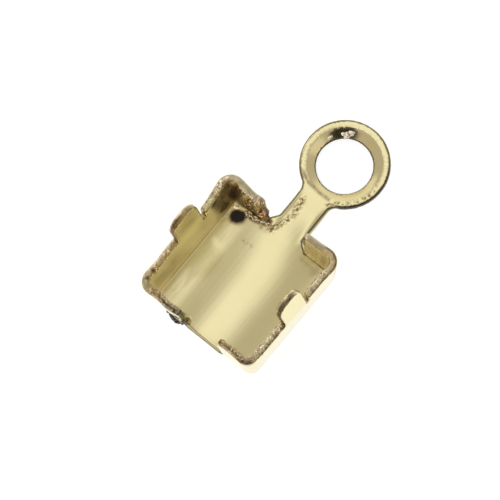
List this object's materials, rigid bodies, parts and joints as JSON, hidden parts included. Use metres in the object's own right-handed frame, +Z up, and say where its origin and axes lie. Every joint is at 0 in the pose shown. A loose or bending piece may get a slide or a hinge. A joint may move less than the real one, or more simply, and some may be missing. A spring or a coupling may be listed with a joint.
{
  "type": "rhinestone chain end",
  "caption": "Square open-topped sheet-metal cup with two crimping prongs and a flat neck that carries a dished ring, to end a chain of set stones.",
  "frame": {"origin": "middle of the cup's underside, on the surface that the part lies on", "axes": "+X from the cup to the ring, +Y to the cup's left side wall, +Z up out of the cup's open top"},
  "size_m": [0.0097, 0.0052, 0.0035],
  "materials": {
    "gold_plated_brass": "drawn sheet brass, polished and flash plated in pale gold, with bare sheared edges"
  },
  "bodies": {
    "root": {"chain_end": "gold_plated_brass"}
  },
  "joints": []
}
